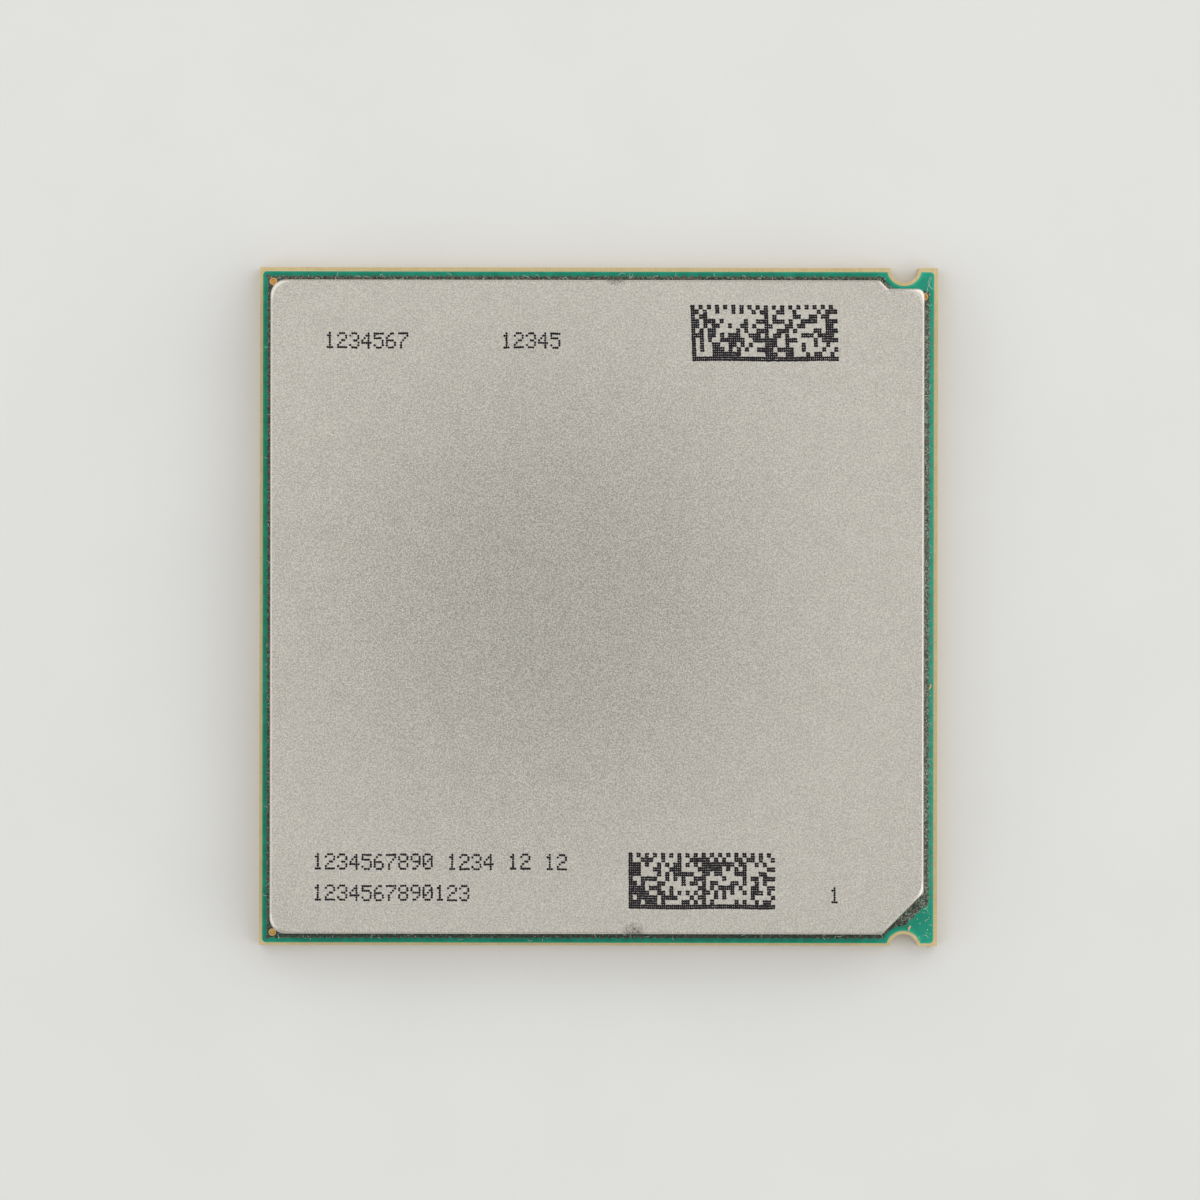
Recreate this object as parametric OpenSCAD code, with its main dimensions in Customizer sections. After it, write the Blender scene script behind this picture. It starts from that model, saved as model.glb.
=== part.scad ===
// Lidded land-grid-array processor package, lying with its lid up.
// X runs along the lower edge, Y up the left edge and Z from the lands to the lid.
// The origin is the centre of the laminate's outline, on the plane of the land faces.

/* [Laminate] */
// Side of the square laminate
laminate_side = 50; // [44:0.5:60]
// Thickness of the laminate between its solder masks
laminate_t = 1.4; // [1:0.05:2]
// Shift of the copper and mask artwork from the routed outline, along X
art_dx = -0.03; // [-0.1:0.005:0.1]
// Shift of the copper and mask artwork from the routed outline, along Y
art_dy = -0.055; // [-0.1:0.005:0.1]

/* [Key notches] */
// Radius of the two half-round key notches
notch_r = 1.05; // [0.8:0.05:1.3]
// Distance of the notch centres from the right edge
notch_from_right = 2.47; // [2.3:0.01:2.8]
// Distance of the notch centres outside the edge that they cut, before drift
notch_out = 0.075; // [0:0.005:0.15]
// Drift of both drilled notches along Y
notch_drift = -0.105; // [-0.15:0.005:0.15]

/* [Solder mask] */
// Thickness of the mask film on bare laminate
mask_t = 0.025; // [0.02:0.001:0.04]
// Bare rim between the laminate's edge and the mask
mask_pull_back = 0.25; // [0.15:0.01:0.4]
// Corner radius of the mask
mask_corner_r = 0.3; // [0.1:0.05:0.6]
// How much higher the mask stands over the copper plane
mask_rise = 0.01; // [0.005:0.001:0.02]
// Clear gap between a pad and the edge of its mask opening
opening_gap = 0.05; // [0.02:0.01:0.1]

/* [Copper plane] */
// Thickness of the copper plane under the upper mask
plane_t = 0.015; // [0.01:0.001:0.018]
// Distance of the plane's outermost points from the laminate's edge
plane_margin = 0.52; // [0.45:0.01:0.7]
// Copper kept clear round each key notch
plane_notch_gap = 0.6; // [0.4:0.05:0.8]
// Leg of the 45 degree cut at the plane's lower right corner
plane_cut = 2.74; // [2:0.02:3.2]
// Pitch of the scallops along the plane's edges
scallop_pitch = 0.6; // [0.5:0.05:1]
// Radius of a scallop
scallop_r = 0.44; // [0.3:0.02:0.6]
// Depth of a scallop
scallop_depth = 0.11; // [0.05:0.01:0.14]

/* [Fiducial marks] */
// Diameter of a fiducial mark
fiducial_d = 0.53; // [0.3:0.01:0.7]
// Thickness of the gold plating on a fiducial mark
fiducial_t = 0.012; // [0.005:0.001:0.018]
// Clear gap between a fiducial mark and the mask round it
fiducial_gap = 0.01; // [0.005:0.005:0.05]
// Distance of the two left marks from both of their edges
fiducial_inset = 1; // [0.9:0.05:1.2]
// Distance of the right mark from the right edge
fiducial_right_inset = 0.95; // [0.9:0.05:1.3]
// Distance of the right mark from the upper edge
fiducial_drop = 2.05; // [2:0.05:4]

/* [Contact lands] */
// Pitch of the land grid
land_pitch = 1.5; // [1.4:0.01:2]
// Diameter of a land
land_d = 0.9; // [0.5:0.02:1]
// How far the lands stand out of the lower mask
land_proud = 0.01; // [0.005:0.001:0.02]
// Least distance of a land's centre from the laminate's edge
land_margin = 2; // [1.9:0.1:5]

/* [Die] */
// Die size along X
die_w = 27; // [20:0.5:32]
// Die size along Y
die_d = 21; // [16:0.5:26]
// Die thickness
die_t = 0.785; // [0.72:0.005:0.9]
// Height of the solder bumps between laminate and die
bump_h = 0.085; // [0.06:0.005:0.12]
// Reach of the underfill fillet beyond the die
fillet_reach = 0.9; // [0.5:0.1:1.2]
// Height that the fillet climbs up the die
fillet_climb = 0.45; // [0.2:0.05:0.6]
// Thickness of the fillet's thin edges
fillet_lip = 0.01; // [0.005:0.005:0.05]
// Width of the mask left under each edge of the die
bump_border = 0.4; // [0.2:0.05:1]
// Thickness of the thermal interface layer on the die
interface_t = 0.1; // [0.05:0.01:0.2]

/* [Lid] */
// Distance of the lid's sides from the laminate's sides
lid_margin = 1.04; // [0.95:0.01:1.3]
// Placement error of the lid along X
lid_dx = -0.107; // [-0.15:0.001:0.15]
// Placement error of the lid along Y
lid_dy = -0.032; // [-0.1:0.001:0.1]
// Height of the lid from its foot to its top
lid_t = 3; // [2:0.1:4]
// Clear distance between the outermost capacitors and the wall of the cavity
cavity_gap = 1.46; // [0.5:0.02:2]
// Radius of the cavity's corners
cavity_r = 2; // [1:0.1:3]
// Radius of the two left corners
lid_corner_r = 1.15; // [0.6:0.05:1.3]
// Radius of the upper right corner, beside the key notch
lid_key_r = 0.52; // [0.3:0.02:0.7]
// Leg of the 45 degree index chamfer at the lower right corner
lid_chamfer = 3.05; // [2.6:0.05:3.6]
// Radius at both ends of the index chamfer
chamfer_r = 0.45; // [0.2:0.05:0.6]
// Clear distance between the upper key notch and the lid's recess
recess_gap = 0.6; // [0.5:0.02:0.8]
// Clear distance between the notch's left side and the foot of the recess's ramp
ramp_gap = 0.29; // [0.2:0.01:0.5]
// Radius at both ends of the recess's ramp
ramp_r = 0.32; // [0.1:0.02:0.4]
// Width of the rolled edge along the sides of the top
roll_w = 0.13; // [0.08:0.01:0.25]
// Height of the rolled edge
roll_h = 0.2; // [0.1:0.01:0.4]
// Extra corner radius of the rolled edge at the left corners
roll_corner_extra = 0.35; // [0:0.05:0.6]
// Extra corner radius of the rolled edge at the upper right corner
roll_key_extra = 0.94; // [0.5:0.02:1.2]
// Extra corner radius of the rolled edge at the index chamfer
roll_chamfer_extra = 2; // [0.2:0.05:2.5]
// Broken edge round the underside of the foot
foot_break = 0.05; // [0.02:0.01:0.1]

/* [Lid sealant] */
// Thickness of the sealant bead
sealant_t = 0.15; // [0.08:0.01:0.25]
// Distance of the bead from the lid's edge
sealant_inset = 0.5; // [0.3:0.1:1]
// Distance of the bead from the cavity
sealant_gap = 0.6; // [0.3:0.1:1]
// Corner radius of the bead's outer edge
sealant_r = 1.5; // [0.8:0.1:2]
// Vent left open in the bead
vent_w = 3; // [1:0.5:6]

/* [Capacitors] */
// Length of a capacitor over its terminals
cap_l = 1.6; // [1.4:0.1:1.8]
// Width of a capacitor
cap_w = 0.8; // [0.6:0.05:1.2]
// Height of a capacitor
cap_h = 0.6; // [0.4:0.05:0.7]
// Length of the metal band at each end
cap_band = 0.35; // [0.2:0.05:0.5]
// Thickness of the terminal metal round the body
terminal_t = 0.03; // [0.02:0.005:0.05]
// Solder thickness under a terminal, above the mask
solder_t = 0.02; // [0.01:0.005:0.05]
// Reach of the solder fillet beyond a terminal
solder_reach = 0.3; // [0.2:0.05:0.4]
// Height that the solder fillet climbs up a terminal
solder_climb = 0.3; // [0.1:0.05:0.4]
// Clear gap between the underfill and the solder of the nearest capacitors
cap_gap = 0.9; // [0.5:0.1:1]
// Pitch of the capacitors in a row
cap_pitch = 6; // [4:0.5:6.5]
// Capacitors along each long side of the die
caps_long = 4; // [2:1:4]
// Capacitors along each short side of the die
caps_short = 2; // [1:1:3]

/* [Hidden] */
$fn = 48;
half_side = laminate_side / 2;

// Levels of the stack, from the lands up
mask_z = land_proud;
laminate_z = mask_z + mask_t;
board_z = laminate_z + laminate_t;
plane_z = board_z + plane_t;
film_z = board_z + mask_t;
raised_z = film_z + mask_rise;
foot_z = raised_z + sealant_t;
lid_z = foot_z + lid_t;
die_z = board_z + bump_h;
die_top_z = die_z + die_t;
ceiling_z = die_top_z + interface_t;
cap_z = film_z + solder_t;
land_t = laminate_z;

// Key notches
notch_x = half_side - notch_from_right;
upper_notch_y = half_side + notch_out + notch_drift;
lower_notch_y = -half_side - notch_out + notch_drift;

// Copper plane
plane_half = half_side - plane_margin;
plane_keep_out_r = notch_r + plane_notch_gap;
scallop_out = scallop_r - scallop_depth;
scallops_each_way = floor((plane_half - scallop_r) / scallop_pitch);
cut_from_centre = (2 * plane_half - plane_cut) / sqrt(2);
cut_scallops_each_way = floor((plane_cut / sqrt(2) - scallop_r) / scallop_pitch);

// Fiducial marks
fiducial_places = [
    [fiducial_inset - half_side, half_side - fiducial_inset],
    [fiducial_inset - half_side, fiducial_inset - half_side],
    [half_side - fiducial_right_inset, half_side - fiducial_drop]
];

// Contact lands: an odd number each way, so one land lies at the centre
lands_each_way = floor((half_side - land_margin) / land_pitch);

// Capacitors
cap_count = 2 * caps_long + 2 * caps_short;
cap_reach = cap_l / 2 + solder_reach;
long_row_y = die_d / 2 + fillet_reach + cap_gap + cap_reach;
short_row_x = die_w / 2 + fillet_reach + cap_gap + cap_reach;
pad_in = cap_l / 2 - cap_band;
pad_l = cap_band + solder_reach;

// Lid outline and cavity, about the lid's own centre
lid_half = half_side - lid_margin;
cavity_half = max(short_row_x, long_row_y) + cap_reach + cavity_gap;
recess_y = upper_notch_y - notch_r - recess_gap - lid_dy;
recess_x = notch_x - notch_r - ramp_gap - lid_dx;
recess_depth = lid_half - recess_y;
bevel_shift = sqrt(2) - 1;
arc_step = 5;
roll_steps = 6;
roll_turn = 72;

// Numbers of the repeated pieces
cap_numbers = [1:cap_count];
fiducial_numbers = [1:len(fiducial_places)];

// Unit vector along v
function unit(v) = v / norm(v);

// Point p turned about c by an angle
function turned(p, c, angle) =
    let (d = p - c)
    c + [d.x * cos(angle) - d.y * sin(angle), d.x * sin(angle) + d.y * cos(angle)];

// Arc of radius r that rounds the corner at b, on the way from a to c
function corner_arc(a, b, c, r) =
    let (
        u = unit(b - a),
        v = unit(c - b),
        turn = atan2(cross(u, v), u * v),
        from = b - u * r * tan(abs(turn) / 2),
        centre = from + sign(turn) * r * [-u.y, u.x],
        steps = round(abs(turn) / arc_step)
    )
    [for (i = [0:steps]) turned(from, centre, turn * i / steps)];

// Closed outline through corners, each rounded by its own radius
function rounded_outline(corners, radii) =
    let (n = len(corners))
    [
        for (i = [0:n - 1])
        each corner_arc(corners[(i + n - 1) % n], corners[i], corners[(i + 1) % n], radii[i])
    ];

// Corners of the lid with its sides moved in by d, from the lower left
function lid_corners(d) = [
    [d - lid_half, d - lid_half],
    [lid_half - lid_chamfer - bevel_shift * d, d - lid_half],
    [lid_half - d, lid_chamfer + bevel_shift * d - lid_half],
    [lid_half - d, recess_y - d],
    [recess_x - bevel_shift * d, recess_y - d],
    [recess_x - recess_depth - bevel_shift * d, lid_half - d],
    [d - lid_half, lid_half - d]
];

// Radii of those corners, at a share of the way in over the rolled edge
function lid_radii(share) = [
    lid_corner_r + share * roll_corner_extra,
    chamfer_r + share * roll_chamfer_extra,
    chamfer_r + share * roll_chamfer_extra,
    lid_key_r + share * roll_key_extra,
    ramp_r,
    ramp_r,
    lid_corner_r + share * roll_corner_extra
];

// Corners of the sealant bead, d inside the lid's sides and straight past the recess
function bead_corners(d) = [
    [d - lid_half, d - lid_half],
    [lid_half - lid_chamfer - bevel_shift * d, d - lid_half],
    [lid_half - d, lid_chamfer + bevel_shift * d - lid_half],
    [lid_half - d, recess_y - d],
    [d - lid_half, recess_y - d]
];

// Ring of the lid's skin at height z
function lid_ring(z, d, share) =
    [for (p = rounded_outline(lid_corners(d), lid_radii(share))) [p.x, p.y, z]];

// Middle-based place of copy i out of n along a row
function spread(i, n, pitch) = (i - (n - 1) / 2) * pitch;

// Place and turn of capacitor i: upper row, lower row, left row, right row
function cap_place(i) =
    i < caps_long
        ? [spread(i, caps_long, cap_pitch), long_row_y, 90]
    : i < 2 * caps_long
        ? [spread(i - caps_long, caps_long, cap_pitch), -long_row_y, 90]
    : i < 2 * caps_long + caps_short
        ? [-short_row_x, spread(i - 2 * caps_long, caps_short, cap_pitch), 0]
    : [short_row_x, spread(i - 2 * caps_long - caps_short, caps_short, cap_pitch), 0];

module on_artwork() {
    translate([art_dx, art_dy, 0]) children();
}

module on_lid() {
    translate([lid_dx, lid_dy, 0]) children();
}

module at_capacitor(i) {
    place = cap_place(i);
    on_artwork() translate([place.x, place.y, 0]) rotate(place.z) children();
}

module at_both_notches() {
    translate([notch_x, upper_notch_y, 0]) children();
    translate([notch_x, lower_notch_y, 0]) children();
}

module slab(z_low, z_high) {
    translate([0, 0, z_low]) linear_extrude(z_high - z_low) children();
}

module rounded_square(half, r) {
    square([2 * half, 2 * (half - r)], center = true);
    square([2 * (half - r), 2 * half], center = true);
    for (x = [-1, 1], y = [-1, 1])
        translate([x * (half - r), y * (half - r)]) circle(r);
}

module mask_outline() {
    difference() {
        on_artwork() rounded_square(half_side - mask_pull_back, mask_corner_r);
        at_both_notches() circle(notch_r + mask_pull_back);
    }
}

module scallop_row(from_centre, each_way) {
    for (i = [-each_way:each_way])
        translate([from_centre + scallop_out, i * scallop_pitch]) circle(scallop_r);
}

module plane_outline() {
    difference() {
        on_artwork() difference() {
            square(2 * plane_half, center = true);
            for (side = [0:3]) rotate(90 * side) scallop_row(plane_half, scallops_each_way);
            rotate(-45) translate([cut_from_centre, -plane_cut])
                square(2 * plane_cut);
            rotate(-45) scallop_row(cut_from_centre, cut_scallops_each_way);
            square(2 * cavity_half, center = true);
        }
        at_both_notches() circle(plane_keep_out_r);
        translate([notch_x, upper_notch_y - plane_keep_out_r])
            square([2 * notch_from_right, 2 * plane_keep_out_r]);
    }
}

module at_fiducial(i) {
    on_artwork() translate(fiducial_places[i]) children();
}

module land_grid(d, corners) {
    n = lands_each_way;
    on_artwork()
        for (i = [-n:n], j = [-n:n])
            if ((abs(i) == n && abs(j) == n) == corners)
                translate([i * land_pitch, j * land_pitch]) circle(d / 2);
}

module pad_openings() {
    gap = opening_gap;
    for (i = [0:cap_count - 1], side = [-1, 1])
        at_capacitor(i)
            translate([side * (pad_in + pad_l / 2), 0])
                square([pad_l + 2 * gap, cap_w + 2 * gap], center = true);
}

module laminate() {
    color([0.78, 0.71, 0.53])
        difference() {
            slab(laminate_z, board_z) square(laminate_side, center = true);
            at_both_notches() slab(0, lid_z) circle(notch_r);
        }
}

module copper_plane() {
    color([0.72, 0.45, 0.28])
        slab(board_z, plane_z) plane_outline();
}

module top_solder_mask() {
    color([0.12, 0.5, 0.4])
        difference() {
            union() {
                slab(board_z, film_z) mask_outline();
                slab(film_z, raised_z) plane_outline();
            }
            slab(board_z, plane_z) plane_outline();
            slab(board_z, lid_z) pad_openings();
            slab(board_z, lid_z) on_artwork()
                square([die_w - 2 * bump_border, die_d - 2 * bump_border], center = true);
            for (i = [0:len(fiducial_places) - 1])
                at_fiducial(i) slab(board_z, lid_z) circle(fiducial_d / 2 + fiducial_gap);
        }
}

module bottom_solder_mask() {
    color([0.12, 0.5, 0.4])
        slab(mask_z, laminate_z)
            difference() {
                mask_outline();
                land_grid(land_d + 2 * opening_gap, false);
                land_grid(land_d + 2 * opening_gap, true);
            }
}

module contact_lands() {
    color([0.85, 0.68, 0.3])
        slab(0, land_t) land_grid(land_d, false);
}

module corner_lands() {
    color([0.85, 0.68, 0.3])
        slab(0, land_t) land_grid(land_d, true);
}

module fiducial_mark(i) {
    color([0.84, 0.63, 0.24])
        at_fiducial(i) slab(plane_z, plane_z + fiducial_t) circle(fiducial_d / 2);
}

module die_block() {
    on_artwork() slab(die_z, die_top_z) square([die_w, die_d], center = true);
}

module silicon_die() {
    color([0.3, 0.32, 0.36]) die_block();
}

module underfill() {
    lip = fillet_lip;
    color([0.2, 0.2, 0.24])
        difference() {
            on_artwork() {
                slab(board_z, film_z)
                    square([die_w - 2 * bump_border, die_d - 2 * bump_border], center = true);
                hull() {
                    slab(film_z, film_z + lip)
                        square([die_w + 2 * fillet_reach, die_d + 2 * fillet_reach], center = true);
                    slab(film_z, die_z + fillet_climb)
                        square([die_w + 2 * lip, die_d + 2 * lip], center = true);
                }
            }
            die_block();
        }
}

module thermal_interface() {
    color([0.66, 0.66, 0.64])
        on_artwork() slab(die_top_z, ceiling_z) square([die_w, die_d], center = true);
}

module lid_sealant() {
    corners = bead_corners(sealant_inset);
    radii = [for (corner = corners) sealant_r];
    color([0.16, 0.16, 0.17])
        on_lid() slab(raised_z, foot_z)
            difference() {
                polygon(rounded_outline(corners, radii));
                rounded_square(cavity_half + sealant_gap, cavity_r + sealant_gap);
                translate([-vent_w / 2, -lid_half]) square([vent_w, lid_half]);
            }
}

module lid_blank() {
    side_z = lid_z - roll_h;
    rings = concat(
        [lid_ring(foot_z, foot_break, 0), lid_ring(foot_z + foot_break, 0, 0)],
        [
            for (i = [0:roll_steps])
            let (
                angle = roll_turn * i / roll_steps,
                share = (1 - cos(angle)) / (1 - cos(roll_turn)),
                rise = sin(angle) / sin(roll_turn)
            )
            lid_ring(side_z + roll_h * rise, roll_w * share, share)
        ]
    );
    n = len(rings[0]);
    top = n * (len(rings) - 1);
    skin = [
        for (k = [0:len(rings) - 2], i = [0:n - 1])
        let (j = (i + 1) % n)
        [k * n + i, (k + 1) * n + i, (k + 1) * n + j, k * n + j]
    ];
    underside = [for (i = [0:n - 1]) i];
    face = [for (i = [0:n - 1]) top + (n - i) % n];
    polyhedron([for (ring = rings) each ring], concat(skin, [underside, face]));
}

module lid() {
    color([0.74, 0.73, 0.7])
        on_lid() difference() {
            lid_blank();
            slab(0, ceiling_z) rounded_square(cavity_half, cavity_r);
        }
}

module capacitor_block() {
    t = terminal_t;
    translate([t - cap_l / 2, t - cap_w / 2, cap_z + t])
        cube([cap_l - 2 * t, cap_w - 2 * t, cap_h - 2 * t]);
}

module capacitor_body(i) {
    color([0.62, 0.5, 0.4]) at_capacitor(i) capacitor_block();
}

module capacitor_terminals(i) {
    color([0.75, 0.75, 0.74])
        at_capacitor(i) difference() {
            for (side = [0, 1])
                mirror([side, 0, 0]) translate([pad_in, -cap_w / 2, cap_z])
                    cube([cap_band, cap_w, cap_h]);
            capacitor_block();
        }
}

module capacitor_solder(i) {
    color([0.7, 0.7, 0.72])
        at_capacitor(i) for (side = [0, 1])
            mirror([side, 0, 0]) rotate([90, 0, 0])
                linear_extrude(cap_w, center = true)
                    polygon([
                        [pad_in, board_z],
                        [pad_in + pad_l, board_z],
                        [pad_in + pad_l, cap_z],
                        [cap_l / 2, cap_z + solder_climb],
                        [cap_l / 2, cap_z],
                        [pad_in, cap_z]
                    ]);
}

laminate();
copper_plane();
top_solder_mask();
bottom_solder_mask();
contact_lands();
corner_lands();
silicon_die();
underfill();
thermal_interface();
lid_sealant();
lid();
for (i = fiducial_numbers)
    fiducial_mark(i - 1);
for (i = cap_numbers)
    capacitor_body(i - 1);
for (i = cap_numbers)
    capacitor_terminals(i - 1);
for (i = cap_numbers)
    capacitor_solder(i - 1);
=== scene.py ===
import math
import random

import bpy
from bpy.props import FloatProperty, FloatVectorProperty, IntProperty, PointerProperty
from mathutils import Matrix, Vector


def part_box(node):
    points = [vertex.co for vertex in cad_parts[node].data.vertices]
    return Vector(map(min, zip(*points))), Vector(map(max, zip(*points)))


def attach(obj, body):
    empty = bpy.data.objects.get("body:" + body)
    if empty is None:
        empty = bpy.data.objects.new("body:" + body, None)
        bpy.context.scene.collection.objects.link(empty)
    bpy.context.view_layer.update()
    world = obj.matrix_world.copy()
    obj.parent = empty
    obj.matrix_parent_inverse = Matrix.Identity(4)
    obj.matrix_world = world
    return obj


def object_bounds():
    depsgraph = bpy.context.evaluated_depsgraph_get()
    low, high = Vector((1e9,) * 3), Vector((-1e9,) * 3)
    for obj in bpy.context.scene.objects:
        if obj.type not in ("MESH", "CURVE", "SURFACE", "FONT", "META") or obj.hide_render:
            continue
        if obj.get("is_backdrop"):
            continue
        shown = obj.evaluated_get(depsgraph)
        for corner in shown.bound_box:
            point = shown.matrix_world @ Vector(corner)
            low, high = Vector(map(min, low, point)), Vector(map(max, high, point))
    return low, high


bl_info = {
    "name": "Lidded Processor Package",
    "version": (1, 0, 0),
    "blender": (4, 5, 0),
    "location": "View3D > Sidebar > Processor",
    "description": "Finishes, ink print, dust and studio for a land-grid-array processor package",
    "category": "Object",
}

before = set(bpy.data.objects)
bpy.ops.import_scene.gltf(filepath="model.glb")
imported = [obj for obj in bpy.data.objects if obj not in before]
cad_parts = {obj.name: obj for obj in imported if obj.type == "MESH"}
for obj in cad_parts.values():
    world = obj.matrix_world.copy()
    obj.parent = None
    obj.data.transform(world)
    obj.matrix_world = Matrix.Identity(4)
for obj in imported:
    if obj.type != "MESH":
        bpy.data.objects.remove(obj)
CAD_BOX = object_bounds()
BODY = "root"
MM = 0.001

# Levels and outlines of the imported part, in metres
BOARD_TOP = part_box("laminate")[1].z
PLANE_LOW, PLANE_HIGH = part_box("copper_plane")
MASK_LOW, MASK_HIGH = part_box("top_solder_mask")
MASK_TOP = MASK_HIGH.z
LAND_LOW, LAND_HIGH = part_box("corner_lands")
LID_LOW, LID_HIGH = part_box("lid")

# On bare laminate the mask ends halfway between the copper plane's top and its own top
FILM_TOP = PLANE_HIGH.z + 0.5 * (MASK_TOP - PLANE_HIGH.z)

# A face of the mask above this level lies on copper; the step is in millimetres
COPPER_LEVEL = (FILM_TOP + MASK_TOP) / 2
COPPER_STEP = 0.002

# Leg of the copper plane's 45 degree cut, and X minus Y along that cut, in millimetres
PLANE_CUT_LEG = 2.74
PLANE_CUT_LINE = (PLANE_HIGH.x - PLANE_LOW.y) / MM - PLANE_CUT_LEG

# Middles of the key notches and the radius that the mask keeps clear round them, in millimetres
NOTCHES = ((22.53, 24.97), (22.53, -25.18))
NOTCH_CLEAR = 1.36

# Dot-matrix digits, five dots wide and seven high, from the top row down
DIGITS = {
    "0": ("01110", "10001", "10011", "10101", "11001", "10001", "01110"),
    "1": ("00100", "01100", "00100", "00100", "00100", "00100", "01110"),
    "2": ("01110", "10001", "00001", "00110", "01000", "10000", "11111"),
    "3": ("01110", "10001", "00001", "00110", "00001", "10001", "01110"),
    "4": ("00010", "00110", "01010", "10010", "11111", "00010", "00010"),
    "5": ("11111", "10000", "11110", "00001", "00001", "10001", "01110"),
    "6": ("00110", "01000", "10000", "11110", "10001", "10001", "01110"),
    "7": ("11111", "00001", "00010", "00100", "01000", "01000", "01000"),
    "8": ("01110", "10001", "10001", "01110", "10001", "10001", "01110"),
    "9": ("01110", "10001", "10001", "01111", "00001", "00010", "01100"),
}
DIGIT_COLUMNS = 5
DIGIT_ROWS = 7

# Plain counting digits and the lower left corner of each line on the lid, in millimetres
COUNTING_LINES = (
    ("1234567", -20.08, 18.87),
    ("12345", -7.14, 18.87),
    ("1234567890 1234 12 12", -20.9, -19.32),
    ("1234567890123", -20.9, -21.6),
    ("1", 16.95, -21.74),
)

# Lower left corner of each matrix mark on the lid and its lean to the left, in millimetres
MATRIX_MARKS = ((6.85, 17.98, 0.15), (2.25, -22.16, 0.02))
MATRIX_DARK_SHARE = 0.5

# Spread of an ink dot's size, and range of its height, as shares of the mean
DOT_SIZE_SPREAD = 0.05
DOT_HEIGHTS = (0.8, 1.2)

# Bands of noise values, which lie round one half: a narrow band gives crisp patches
WIDE_BAND = (0.25, 0.75)
SOFT_BAND = (0.3, 0.7)
CLOUD_BAND = (0.35, 0.65)
CRISP_BAND = (0.4, 0.6)
PIT_BAND = (0.71, 0.76)
RUB_BAND = (0.4, 0.62)
THIN_BAND = (0.35, 0.7)
BARE_BAND = (0.3, 0.6)
FLECK_BAND = (0.56, 0.66)

# Cosines of a face's angle to the level: upright to level, and the ends of the lid's rolled edge
LEVEL_BAND = (0.3, 0.7)
ROLL_START = (0.1, 0.3)
ROLL_END = (0.95, 0.99)

# Middle of the painted shade on the lid and of its strongest grain, in millimetres
SHADE_AND_GRAIN_MIDDLE = (-4.0, 1.0)

# Distances from there, in millimetres, over which the grain calms down and the painted shade ends
GRAIN_CALMS = (4.0, 27.0)
MIDDLE_SHADE_ENDS = (2.0, 27.0)

# Contrast of the plating's grain in the middle and at the lid's edges
GRAIN_CONTRAST = (0.3, 0.19)

# Rub marks at the lid's edges: middle and half size in millimetres, and strength
RUB_MARKS = ((1.2, LID_HIGH.y / MM, 0.65, 0.3, 0.85), (2.6, LID_LOW.y / MM, 0.7, 0.62, 0.8))

# How far the rub marks reach down from the lid's top, in millimetres
RUB_DEPTH = 0.8

# Swing of the roughness about its mean, on the plating and on plain finishes
NICKEL_SWING = 0.07
PLAIN_SWING = 0.06

# Shares of a yarn's pitch: its shift from ply to ply and its half width
YARN_SHIFT = 0.43
YARN_HALF = 0.47

# Distances past an outline, in millimetres: where the mask's edge is painted paler as a highlight,
# and where copper shows through
EDGE_HIGHLIGHT_BAND = (-0.16, -0.03)
BARE_EDGE = (-0.15, -0.06)

# Dust, and painted light on the green mask, grow along X towards the right edge over this stretch,
# in millimetres
DUST_AND_LIGHT_GROWS = (18.0, 24.3)

# Painted shade below the lid: from the dark, smooth lower edge, the brown patches and pale flecks
# on the mask over copper come in along Y over this stretch, in millimetres
LOWER_SHADE_ENDS = (-24.2, -22.5)

# The film of dust fades out along Y, up and down, over this stretch, in millimetres
FILM_FADES = (20.0, 22.5)

# Half width and half length of the wipe on a land, in millimetres
WIPE_HALF = (0.06, 0.2)

# Sides of the lid that threads and specks fall on, each as often as it stands here
DUSTY_SIDES = ("left", "right", "right", "right", "right", "lower", "upper", "upper")

# Bend of a stray thread at each step, in radians, and the length of a step, in millimetres
THREAD_BEND = 0.7
THREAD_STEPS = (0.05, 0.16)

# Sizes of the scattered specks, as shares of the mean size
SCATTERED_SIZES = (0.35, 0.95)

# Shares of a speck's size: its narrow side, its uneven reach, and each ring's reach and height
SPECK_NARROW = (0.5, 1.0)
SPECK_REACH = (0.6, 1.1)
SPECK_RINGS = ((0.85, 0.0), (1.0, 0.25), (0.5, 0.5))

# Lint, chips, burr and specks on the board: points in millimetres, in plan
LINT_LOOP = (
    (24.52, 24.42), (24.36, 24.2), (24.28, 23.95), (24.3, 23.72), (24.43, 23.57), (24.55, 23.45),
)
PUFF_OFFSETS = ((0.0, 0.0), (0.1, -0.05))
LINT_TAIL = ((24.3, 23.72), (24.22, 23.46), (24.2, 23.32))
LINT_ARC = ((1.4, 24.37), (1.55, 24.52), (1.75, 24.6), (1.95, 24.5))
LINT_HOOK = ((2.3, 24.6), (2.22, 24.42), (2.3, 24.3), (2.45, 24.36), (2.5, 24.55))
CHIP_FORK = ((23.04, -23.5), (22.95, -23.7), (22.9, -23.88))
CHIP_ARM = ((22.87, -23.62), (22.95, -23.7))
CHIP_FLAKE = ((24.52, -5.7), (24.47, -5.9), (24.38, -6.08))
EDGE_BURR = ((24.45, -25.0), (24.36, -25.06), (24.27, -25.11))
WHITE_SPECKS = (
    (24.06, -22.55), (23.74, -23.35), (24.15, -23.2), (24.42, -22.9), (23.9, -22.1),
    (24.3, -23.8), (23.55, -23.0), (24.5, -24.1), (-21.55, -24.5), (-21.35, -24.4),
    (-23.5, -24.44), (-21.24, -24.56), (24.19, 19.84), (24.19, 19.4), (24.33, 18.62),
    (24.4, 11.8), (24.5, 4.5), (24.45, 1.95), (24.2, -8.4), (24.26, -12.06),
    (24.2, -12.3), (24.15, -17.4), (0.52, 24.37), (-20.9, 24.2), (-5.6, 24.4),
)
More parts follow.
